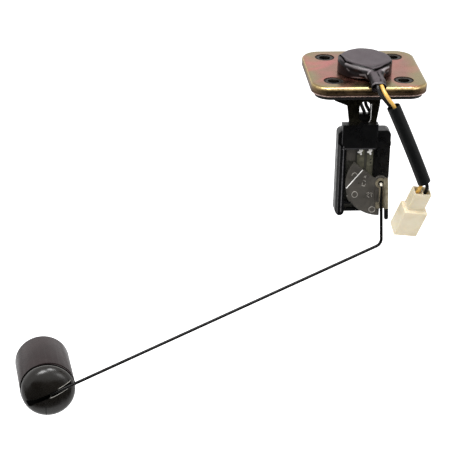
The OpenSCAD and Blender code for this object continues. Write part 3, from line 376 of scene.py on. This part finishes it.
class Surface:
    """A node material under construction, with one Principled shader."""

    def __init__(self, name, rough=0.5, metal=0.0, **inputs):
        self.mat = bpy.data.materials.new(name)
        self.mat.use_nodes = True
        self.tree = self.mat.node_tree
        self.shader = self.tree.nodes["Principled BSDF"]
        self.shader.inputs["Roughness"].default_value = rough
        self.shader.inputs["Metallic"].default_value = metal
        for key, value in inputs.items():
            self.shader.inputs[key.replace("_", " ")].default_value = value
        self.coords = self.node("ShaderNodeTexCoord").outputs["Object"]

    def node(self, kind, **settings):
        made = self.tree.nodes.new(kind)
        for key, value in settings.items():
            setattr(made, key, value)
        return made

    def put(self, socket, value):
        """Links an output to a socket, or sets the socket to a constant."""
        if isinstance(value, bpy.types.NodeSocket):
            self.tree.links.new(value, socket)
        else:
            socket.default_value = value

    def stretch(self, scale):
        """The object's coordinates, scaled along each axis."""
        made = self.node("ShaderNodeMapping")
        self.put(made.inputs["Vector"], self.coords)
        made.inputs["Scale"].default_value = scale
        return made.outputs["Vector"]

    def noise(self, scale, detail=4.0, rough=0.55, distort=0.0, coords=None):
        made = self.node("ShaderNodeTexNoise")
        self.put(made.inputs["Vector"], coords or self.coords)
        made.inputs["Scale"].default_value = scale
        made.inputs["Detail"].default_value = detail
        made.inputs["Roughness"].default_value = rough
        made.inputs["Distortion"].default_value = distort
        return made.outputs["Fac"]

    def ramp(self, value, *stops):
        """A colour or grey ramp: each stop is a place and a grey or a colour."""
        made = self.node("ShaderNodeValToRGB")
        self.put(made.inputs["Fac"], value)
        elements = made.color_ramp.elements
        while len(elements) < len(stops):
            elements.new(0.5)
        for element, (place, colour) in zip(elements, stops):
            element.position = place
            grey = isinstance(colour, (int, float))
            element.color = (colour,) * 3 + (1,) if grey else (*colour, 1)
        return made.outputs["Color"]

    def mix(self, share, a, b, how="MIX"):
        made = self.node("ShaderNodeMix", data_type="RGBA", blend_type=how)
        self.put(made.inputs["Factor"], share)
        for socket, value in ((made.inputs[6], a), (made.inputs[7], b)):
            self.put(socket, (*value, 1) if isinstance(value, tuple) else value)
        return made.outputs[2]

    def math(self, how, a, b=0.0, clamp=False):
        made = self.node("ShaderNodeMath", operation=how, use_clamp=clamp)
        self.put(made.inputs[0], a)
        self.put(made.inputs[1], b)
        return made.outputs[0]

    def axis(self, name):
        """One of the object's coordinates, in metres."""
        made = self.node("ShaderNodeSeparateXYZ")
        self.put(made.inputs[0], self.coords)
        return made.outputs[name]

    def band(self, value, low, high, soft):
        """1 where a length lies between two others, given in millimetres, with soft ends."""
        made = self.node("ShaderNodeMapRange", interpolation_type="SMOOTHSTEP")
        self.put(made.inputs["Value"], value)
        made.inputs["From Min"].default_value = (low - soft) * MM
        made.inputs["From Max"].default_value = (low + soft) * MM
        end = self.node("ShaderNodeMapRange", interpolation_type="SMOOTHSTEP")
        self.put(end.inputs["Value"], value)
        end.inputs["From Min"].default_value = (high + soft) * MM
        end.inputs["From Max"].default_value = (high - soft) * MM
        return self.math("MULTIPLY", made.outputs[0], end.outputs[0])

    def colour(self, value):
        self.put(self.shader.inputs["Base Color"], (*value, 1) if isinstance(value, tuple) else value)

    def rough(self, value):
        self.put(self.shader.inputs["Roughness"], value)

    def bump(self, height, depth, strength=1.0):
        """Bump from a height of 0 to 1, with its depth in metres."""
        made = self.node("ShaderNodeBump")
        made.inputs["Strength"].default_value = strength
        made.inputs["Distance"].default_value = depth
        self.put(made.inputs["Height"], height)
        before = self.shader.inputs["Normal"].links
        if before:
            self.put(made.inputs["Normal"], before[0].from_socket)
        self.put(self.shader.inputs["Normal"], made.outputs["Normal"])


def plated(name, inner, outer, tint, rough, side):
    """Yellow zinc plating: soft clouds of gold and rose, and a side painted with light and shade by
    height, with dark specks.
    """
    s = Surface(name, metal=1.0)
    across = s.math("DIVIDE", s.math("ABSOLUTE", s.axis("X")), 36 * MM)
    along = s.math("DIVIDE", s.math("ABSOLUTE", s.axis("Y")), 35 * MM)
    reach = s.math("POWER", s.math("MAXIMUM", across, along), 3.0)
    clouds = s.noise(26, detail=2, distort=0.4)
    edge = s.math("ADD", reach, s.math("MULTIPLY", s.math("SUBTRACT", clouds, 0.5), 1.5))
    base = s.mix(s.ramp(edge, (0.25, 0), (0.8, 1)), inner, outer)
    bands = s.noise(19, detail=1, distort=1.2)
    base = s.mix(s.ramp(bands, (0.5, 0), (0.62, 0.75), (0.72, 0)), base, tint)
    fine = s.noise(420, detail=5)
    base = s.mix(s.ramp(fine, (0.35, 0.2), (0.65, 0)), base, tuple(0.45 * c for c in outer))
    # Painted light and shade on the side: a colour ramp by height stands for its highlights and
    # shade, with dark specks mixed in
    low, high, stops = side
    height = s.node("ShaderNodeMapRange")
    s.put(height.inputs["Value"], s.axis("Z"))
    height.inputs["From Min"].default_value = low * MM
    height.inputs["From Max"].default_value = high * MM
    shade = s.mix(s.ramp(s.noise(500, detail=3), (0.36, 0.4), (0.52, 0)),
                  s.ramp(height.outputs[0], *stops), (0.03, 0.022, 0.015))
    s.colour(s.mix(s.band(s.axis("Z"), low, high, 0.15), base, shade))
    s.rough(s.math("ADD", s.ramp(s.noise(160, detail=5), (0.3, rough - 0.07), (0.7, rough + 0.1)),
                   s.math("MULTIPLY", s.band(s.axis("Z"), low, high, 0.3), 0.12)))
    s.bump(s.noise(900, detail=3), 0.00004, 0.18)
    return s.mat


def metal(name, base, rough=0.35, stain=0.5, grain=(1, 1, 1), share=1.0):
    """Plain metal with fine stains and a drawn or rolled grain."""
    s = Surface(name, metal=share)
    dull = s.ramp(s.noise(350, detail=5), (0.4, stain), (0.62, 0))
    s.colour(s.mix(dull, base, tuple(0.35 * c for c in base)))
    lines = s.noise(2500, detail=3, coords=s.stretch(grain))
    s.rough(s.ramp(lines, (0.3, rough - 0.08), (0.7, rough + 0.14)))
    s.bump(lines, 0.00003, 0.4)
    return s.mat


def plastic(name, base, rough=0.42, **inputs):
    """Moulded plastic: a fine grain and faint flow marks."""
    s = Surface(name, **inputs)
    flow = s.ramp(s.noise(130, detail=4, distort=0.8), (0.35, 0.75), (0.7, 1.2))
    s.colour(s.mix(1.0, base, flow, how="MULTIPLY"))
    s.rough(s.ramp(s.noise(260, detail=5), (0.3, rough - 0.08), (0.72, rough + 0.12)))
    s.bump(s.noise(1500, detail=4), 0.00003, 0.3)
    return s.mat


def rubber(name, base, rough=0.5, bloom=(0.16, 0.15, 0.16), share=0.3, **inputs):
    """Soft rubber or vinyl with a faint bloom and fine dust."""
    s = Surface(name, rough=rough, **inputs)
    cloudy = s.ramp(s.noise(90, detail=6, rough=0.65), (0.4, 0), (0.75, share))
    dust = s.ramp(s.noise(2400, detail=3), (0.6, 0), (0.75, 0.25))
    s.colour(s.mix(dust, s.mix(cloudy, base, bloom), bloom))
    s.rough(s.ramp(s.noise(300, detail=5), (0.3, rough - 0.08), (0.7, rough + 0.12)))
    s.bump(s.noise(700, detail=5), 0.00005, 0.5)
    return s.mat


def boot_vinyl(name):
    """Soft vinyl: a matt grey top and dark, shiny sides, the sides' darkness being painted shade set
    by the slope of the surface.
    """
    s = Surface(name)
    # Painted shade: the base colour darkens as the surface turns from facing up to facing sideways
    up = s.node("ShaderNodeSeparateXYZ")
    s.put(up.inputs[0], s.node("ShaderNodeNewGeometry").outputs["Normal"])
    top = s.ramp(up.outputs["Z"], (0.72, 0), (0.95, 1))
    cloudy = s.ramp(s.noise(90, detail=6, rough=0.65), (0.35, 0.86), (0.7, 1.12))
    base = s.mix(1.0, s.mix(top, (0.007, 0.0055, 0.006), (0.056, 0.045, 0.05)), cloudy,
                 how="MULTIPLY")
    # Painted light from the skin: below 0 it paints crease shade, dark and without reflection, above
    # 0 it paints highlights
    painted_light = s.node("ShaderNodeAttribute", attribute_name="painted_light").outputs["Fac"]
    dark = s.ramp(s.math("MULTIPLY", painted_light, -1.0), (0, 0), (0.8, 1))
    base = s.mix(dark, base, (0.002, 0.0015, 0.0015))
    s.put(s.shader.inputs["Specular IOR Level"],
          s.math("MULTIPLY", s.math("SUBTRACT", 1.0, dark),
                 s.math("ADD", 0.12, s.math("MULTIPLY", top, 0.12))))
    # Painted highlights: paler where the stored painted light is above 0
    s.colour(s.mix(s.ramp(painted_light, (0, 0), (1, 0.85)), base, (0.46, 0.42, 0.43)))
    s.rough(s.ramp(s.math("ADD", top, s.math("MULTIPLY", s.noise(300), 0.25)),
                   (0.1, 0.22), (0.9, 0.5)))
    s.bump(s.noise(700, detail=5), 0.00005, 0.4)
    return s.mat


def float_finish(name):
    """The float: a warm dark body, a shiny black dome, painted shade in the gap round the cap and in
    its groove and end hole, painted highlights on the cap's edge and the groove's lips, and a dark
    mould seam.
    """
    low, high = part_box("float")
    middle = [(a + b) / 2 for a, b in zip(low, high)]
    s = Surface(name)
    x = s.math("SUBTRACT", s.axis("X"), middle[0])
    z = s.math("SUBTRACT", s.axis("Z"), middle[2])
    depth = s.math("SUBTRACT", s.axis("Y"), low[1])
    dome = s.band(depth, -1, 10.4, 0.1)
    # Painted shade in the gap between the dome's cap and the body
    gap_shade = s.band(depth, 10.1, 12.2, 0.15)
    lean = math.radians(ARM_DROP)
    off = s.math("SUBTRACT", s.math("MULTIPLY", x, math.sin(lean)),
                 s.math("MULTIPLY", z, math.cos(lean)))
    left = s.math("MULTIPLY", s.math("ADD", s.math("MULTIPLY", x, math.cos(lean)),
                                     s.math("MULTIPLY", z, math.sin(lean))), -1.0)
    # Painted shade: the groove and the hole at its end are painted near black
    hole = s.math("MULTIPLY", s.band(off, -2.2, 2.6, 0.5), s.band(left, 8, 12, 0.5))
    groove = s.math("MULTIPLY", s.band(off, -1.5, 1.5, 0.1), s.band(left, -19, 9.5, 0.2))
    dark = s.math("MULTIPLY", s.math("MAXIMUM", hole, groove), dome)
    # Painted highlights along the groove's lips
    lip_highlight = s.math("MULTIPLY", dome, s.math(
        "MAXIMUM", s.math("MULTIPLY", s.band(off, 1.3, 1.8, 0.1), s.band(left, -19, -4, 1)),
        s.math("MULTIPLY", s.band(off, -1.9, -1.3, 0.1), s.band(left, -19, -11, 1))))
    # A painted highlight along the cap's edge, next to the gap
    rim = s.band(depth, 9.5, 10.1, 0.15)
    seam = s.math("MULTIPLY", s.band(x, 0.8, 1.2, 0.1), s.band(z, -19, -7, 0.5))
    clouds = s.ramp(s.noise(60, detail=4), (0.35, 0.8), (0.7, 1.25))
    base = s.mix(dome, (0.019, 0.0118, 0.012), (0.0075, 0.0062, 0.005))
    base = s.mix(1.0, base, clouds, how="MULTIPLY")
    base = s.mix(s.math("MULTIPLY", rim, 0.3), base, (0.3, 0.29, 0.27))
    base = s.mix(s.math("MULTIPLY", lip_highlight, 0.75), base, (0.55, 0.53, 0.48))
    # Painted shade in the gap, groove and hole, with the real mould seam on the dome: near black,
    # matt and without reflection
    shade_and_seam = s.math("MAXIMUM", s.math("MAXIMUM", gap_shade, dark), s.math("MULTIPLY", seam, dome))
    s.colour(s.mix(shade_and_seam, base, (0.002, 0.002, 0.002)))
    s.put(s.shader.inputs["Specular IOR Level"],
          s.math("MULTIPLY", s.math("SUBTRACT", 1.0, shade_and_seam),
                 s.math("ADD", 0.22, s.math("MULTIPLY", dome, 0.18))))
    s.rough(s.math("MAXIMUM", s.math("ADD", s.ramp(s.noise(200, detail=5), (0.3, 0.2), (0.7, 0.36)),
                                     s.math("MULTIPLY", dome, -0.04)),
                   s.math("MULTIPLY", shade_and_seam, 0.9)))
    s.bump(s.noise(450, detail=4), 0.00006, 0.5)
    return s.mat


def housing_finish(name):
    """Black plastic with painted highlights: lighter streaks where the window and the rail meet the
    hood.
    """
    s = Surface(name, Specular_IOR_Level=0.35)
    flow = s.ramp(s.noise(130, detail=4, distort=0.8), (0.35, 0.75), (0.7, 1.2))
    base = s.mix(1.0, (0.004, 0.004, 0.0045), flow, how="MULTIPLY")
    # Painted highlights, broken up by noise, on the edges listed above
    highlight_breakup = s.ramp(s.noise(420, detail=3), (0.3, 0.35), (0.7, 1))
    for across, up, share in EDGE_HIGHLIGHTS:
        where = s.math("MULTIPLY", s.band(s.axis("X"), *across, 0.1),
                       s.math("MULTIPLY", s.band(s.axis("Z"), *up, 0.1),
                              s.band(s.axis("Y"), *EDGE_HIGHLIGHT_DEPTH, 0.1)))
        base = s.mix(s.math("MULTIPLY", s.math("MULTIPLY", where, share), highlight_breakup), base,
                     (0.2, 0.195, 0.205))
    s.colour(base)
    s.rough(s.ramp(s.noise(260, detail=5), (0.3, 0.22), (0.72, 0.42)))
    s.bump(s.noise(1500, detail=4), 0.00003, 0.3)
    return s.mat


def wire_finish(name):
    """The wire: black all along, with a painted highlight where it turns down from the axle and a
    painted sheen down one edge of its leg.
    """
    s = Surface(name, rough=0.25, Specular_IOR_Level=0.16)
    x, z = AXLE
    # Painted highlight at the bend below the axle
    bend_glint = s.math("MULTIPLY", s.band(s.axis("X"), x - 0.7, x + 0.9, 0.2),
                    s.math("MULTIPLY", s.band(s.axis("Z"), z - 1.1, z + 0.5, 0.2),
                           s.band(s.axis("Y"), ROTOR_FACE - 9, ROTOR_FACE - 1, 0.2)))
    # Painted sheen along the left edge of the leg below the axle
    leg_sheen = s.math("MULTIPLY", s.band(s.axis("X"), x - 1.2, x - 0.35, 0.15),
                   s.band(s.axis("Z"), z - 27, z - 1.8, 0.5))
    flow = s.ramp(s.noise(130, detail=4, distort=0.8), (0.35, 0.75), (0.7, 1.2))
    base = s.mix(1.0, (0.003, 0.0026, 0.0025), flow, how="MULTIPLY")
    base = s.mix(s.math("MULTIPLY", leg_sheen, 0.7), base, (0.3, 0.25, 0.17))
    s.colour(s.mix(bend_glint, base, (0.85, 0.8, 0.68)))
    s.bump(s.noise(1500, detail=4), 0.00003, 0.3)
    return s.mat


def nylon(name):
    """Natural nylon: cream, a little light passes through, faint yellowing."""
    s = Surface(name, rough=0.38, Subsurface_Weight=0.25, Subsurface_Scale=0.004)
    s.shader.inputs["Subsurface Radius"].default_value = (1.0, 0.75, 0.45)
    aged = s.noise(70, detail=4, distort=0.5)
    base = s.ramp(aged, (0.3, (0.63, 0.54, 0.37)), (0.55, (0.73, 0.64, 0.47)),
                  (0.8, (0.81, 0.73, 0.56)))
    s.colour(base)
    s.rough(s.ramp(s.noise(240, detail=4), (0.3, 0.32), (0.7, 0.48)))
    s.bump(s.noise(600, detail=3), 0.00003, 0.5)
    return s.mat


def board(name, base, lines):
    """A printed board with a fine woven grain."""
    s = Surface(name, rough=0.4)
    weave = s.node("ShaderNodeTexWave", wave_type="BANDS", bands_direction="Z")
    s.put(weave.inputs["Vector"], s.coords)
    weave.inputs["Scale"].default_value = 900
    weave.inputs["Distortion"].default_value = 1.5
    s.colour(s.mix(s.ramp(weave.outputs["Fac"], (0.4, 0), (0.7, 0.4)), base, lines))
    s.bump(weave.outputs["Fac"], 0.00003, 0.4)
    return s.mat


MATERIALS = {
    # The last entry of each plating is its side: from and to in height, and the painted light and
    # shade up the side
    "plated_cover": plated("plated_cover", (0.35, 0.15, 0.105), (0.31, 0.245, 0.11),
                           (0.62, 0.15, 0.15), 0.25,
                           (5.4, 8.3, ((0, (0.12, 0.075, 0.045)), (0.5, (0.34, 0.23, 0.11)),
                                       (1, (0.62, 0.47, 0.22))))),
    "plated_back": plated("plated_back", (0.3, 0.2, 0.14), (0.36, 0.26, 0.16),
                          (0.3, 0.12, 0.12), 0.36,
                          (2.4, 5.2, ((0, (0.75, 0.56, 0.5)), (0.3, (0.7, 0.5, 0.43)),
                                      (0.45, (0.1, 0.06, 0.04)), (1, (0.16, 0.1, 0.05))))),
    "gasket_rubber": rubber("gasket_rubber", (0.006, 0.006, 0.006), 0.55, share=0.06,
                            Specular_IOR_Level=0.25),
    "bare_steel": metal("bare_steel", (0.034, 0.029, 0.025), 0.4, 0.7),
    "insulator_board": board("insulator_board", (0.17, 0.075, 0.035), (0.24, 0.12, 0.06)),
    "brass": metal("brass", (0.4, 0.35, 0.25), 0.3, 0.6, share=0.5),
    "boot_rubber": boot_vinyl("boot_rubber"),
    "yellow_insulation": plastic("yellow_insulation", (0.68, 0.4, 0.09), 0.3),
    "black_insulation": plastic("black_insulation", (0.006, 0.006, 0.006), 0.25,
                                Specular_IOR_Level=0.3),
    "sleeve_vinyl": rubber("sleeve_vinyl", (0.004, 0.0045, 0.0045), 0.38, (0.02, 0.02, 0.021),
                           0.1, Specular_IOR_Level=0.15),
    "natural_nylon": nylon("natural_nylon"),
    "bracket_steel": metal("bracket_steel", (0.075, 0.068, 0.045), 0.34, 0.6),
    "black_plastic": housing_finish("black_plastic"),
    "board": board("board", (0.06, 0.058, 0.045), (0.035, 0.035, 0.03)),
    "strip_metal": metal("strip_metal", (0.17, 0.165, 0.115), 0.42, 0.6, share=0.3),
    "rotor_plastic": plastic("rotor_plastic", (0.068, 0.062, 0.053), 0.34),
    "arm_wire": wire_finish("arm_wire"),
    "float_plastic": float_finish("float_plastic"),
}


# Small rounds on the hard-edged nodes, in millimetres
EDGES = {"gasket": 0.3, "bolt_collars": 0.3, "connector_housing": 0.6, "bracket": 0.25,
         "sender_housing": 0.45, "rear_cover": 0.3,
         "terminal_block": 0.2, "rotor": 0.3, "arm_clip": 0.2, "float": 0.4,
         "contact_strip_left": 0.08, "contact_strip_right": 0.08}


MARK_HIGHLIGHT = plastic("rotor_mark_highlight", (0.33, 0.31, 0.28), 0.4)
# Near white standing for light: the painted highlight on the bracket opening's edge and on the
# rotor's pointer groove, and the painted sheen of the tinned ends
GLINT_WHITE = plastic("painted_glint_white", (0.95, 0.94, 0.91), 0.3)


def dress(obj, slot):
    """Gives a piece the finish of a slot."""
    obj.data.materials.clear()
    obj.data.materials.append(MATERIALS[slot])
    return obj


def dress_nodes():
    """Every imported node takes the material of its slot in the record."""
    for row in frame["record"]["subparts"]:
        node = frame["nodes"][row["node"]]
        node.data.materials.clear()
        node.data.materials.append(MATERIALS[row["material_slot"]])
        if row["node"] in EDGES:
            soften(node, EDGES[row["node"]] * MM)


def soften(obj, width, segments=3, angle=35):
    """Small rounds on a hard-edged piece."""
    weld = obj.modifiers.new("weld", "WELD")
    weld.merge_threshold = 0.000002
    bevel = obj.modifiers.new("round", "BEVEL")
    bevel.width, bevel.segments, bevel.limit_method = width, segments, "ANGLE"
    bevel.angle_limit = math.radians(angle)
    bevel.harden_normals = True


# Stage

def make_stage():
    """A pale floor far below, a white surround and three soft lamps."""
    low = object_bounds()[0].z
    bpy.ops.mesh.primitive_plane_add(size=12, location=(0, 0, low - 0.25))
    floor = bpy.context.object
    floor.name = "floor"
    floor.data.materials.append(white_floor())
    world = bpy.data.worlds.new("surround")
    bpy.context.scene.world = world
    world.use_nodes = True
    tree = world.node_tree
    background = tree.nodes["Background"]
    background.inputs["Color"].default_value = (1, 1, 1, 1)
    rays = tree.nodes.new("ShaderNodeLightPath")
    seen = tree.nodes.new("ShaderNodeMath")
    seen.operation = "MAXIMUM"
    glossy_or_clear = tree.nodes.new("ShaderNodeMath")
    glossy_or_clear.operation = "MAXIMUM"
    tree.links.new(rays.outputs["Is Glossy Ray"], glossy_or_clear.inputs[0])
    tree.links.new(rays.outputs["Is Transmission Ray"], glossy_or_clear.inputs[1])
    tree.links.new(rays.outputs["Is Camera Ray"], seen.inputs[0])
    tree.links.new(glossy_or_clear.outputs[0], seen.inputs[1])
    strength = tree.nodes.new("ShaderNodeMapRange")
    strength.inputs["To Min"].default_value = 0.55
    strength.inputs["To Max"].default_value = 1.0
    tree.links.new(seen.outputs[0], strength.inputs["Value"])
    tree.links.new(strength.outputs[0], background.inputs["Strength"])
    dark_card("card_low", (0, -0.95, low - 0.24), 0, 1.5)
    dark_card("card_back", (0, -1.7, low + 0.1), math.radians(90), 0.7)
    lamp("key", (-0.5, -0.5, 1.1), 0.6, 15)
    lamp("fill", (0.9, -0.9, 0.6), 0.7, 5)
    lamp("over", (0.1, -0.05, 1.1), 0.5, 9)


def dark_card(name, place, turn, depth):
    """A black card round the photographer, which only reflections show."""
    bpy.ops.mesh.primitive_plane_add(size=1, location=place)
    card = bpy.context.object
    card.name = name
    card.rotation_euler.x = turn
    card.scale = (3, depth, 1)
    mat = bpy.data.materials.new("card_black")
    mat.use_nodes = True
    shader = mat.node_tree.nodes["Principled BSDF"]
    shader.inputs["Base Color"].default_value = (0, 0, 0, 1)
    shader.inputs["Specular IOR Level"].default_value = 0
    card.data.materials.append(mat)
    card.visible_camera = card.visible_diffuse = card.visible_shadow = False


def white_floor():
    """A floor that shows white and keeps a soft shadow."""
    mat = bpy.data.materials.new("floor_white")
    mat.use_nodes = True
    tree = mat.node_tree
    tree.nodes.clear()
    out = tree.nodes.new("ShaderNodeOutputMaterial")
    diffuse = tree.nodes.new("ShaderNodeBsdfDiffuse")
    diffuse.inputs["Color"].default_value = (0.85, 0.85, 0.85, 1)
    glow = tree.nodes.new("ShaderNodeEmission")
    glow.inputs["Strength"].default_value = 0.75
    both = tree.nodes.new("ShaderNodeAddShader")
    rays = tree.nodes.new("ShaderNodeLightPath")
    pick = tree.nodes.new("ShaderNodeMixShader")
    tree.links.new(diffuse.outputs[0], both.inputs[0])
    tree.links.new(glow.outputs[0], both.inputs[1])
    tree.links.new(rays.outputs["Is Camera Ray"], pick.inputs[0])
    tree.links.new(diffuse.outputs[0], pick.inputs[1])
    tree.links.new(both.outputs[0], pick.inputs[2])
    tree.links.new(pick.outputs[0], out.inputs["Surface"])
    return mat


def lamp(name, place, size, power):
    """A square area lamp aimed at the middle of the sender."""
    data = bpy.data.lights.new(name, "AREA")
    data.size, data.energy = size, power
    obj = bpy.data.objects.new(name, data)
    bpy.context.scene.collection.objects.link(obj)
    obj.location = place
    aim = Vector((0, 0, -0.05)) - Vector(place)
    obj.rotation_euler = aim.to_track_quat("-Z", "Y").to_euler()


make_camera()
make_leads()
make_sleeve()
dress_nodes()
make_boot()
make_marks()
make_rim_highlight()
make_tinned_ends()
make_stage()
bpy.context.scene.view_settings.view_transform = "Standard"
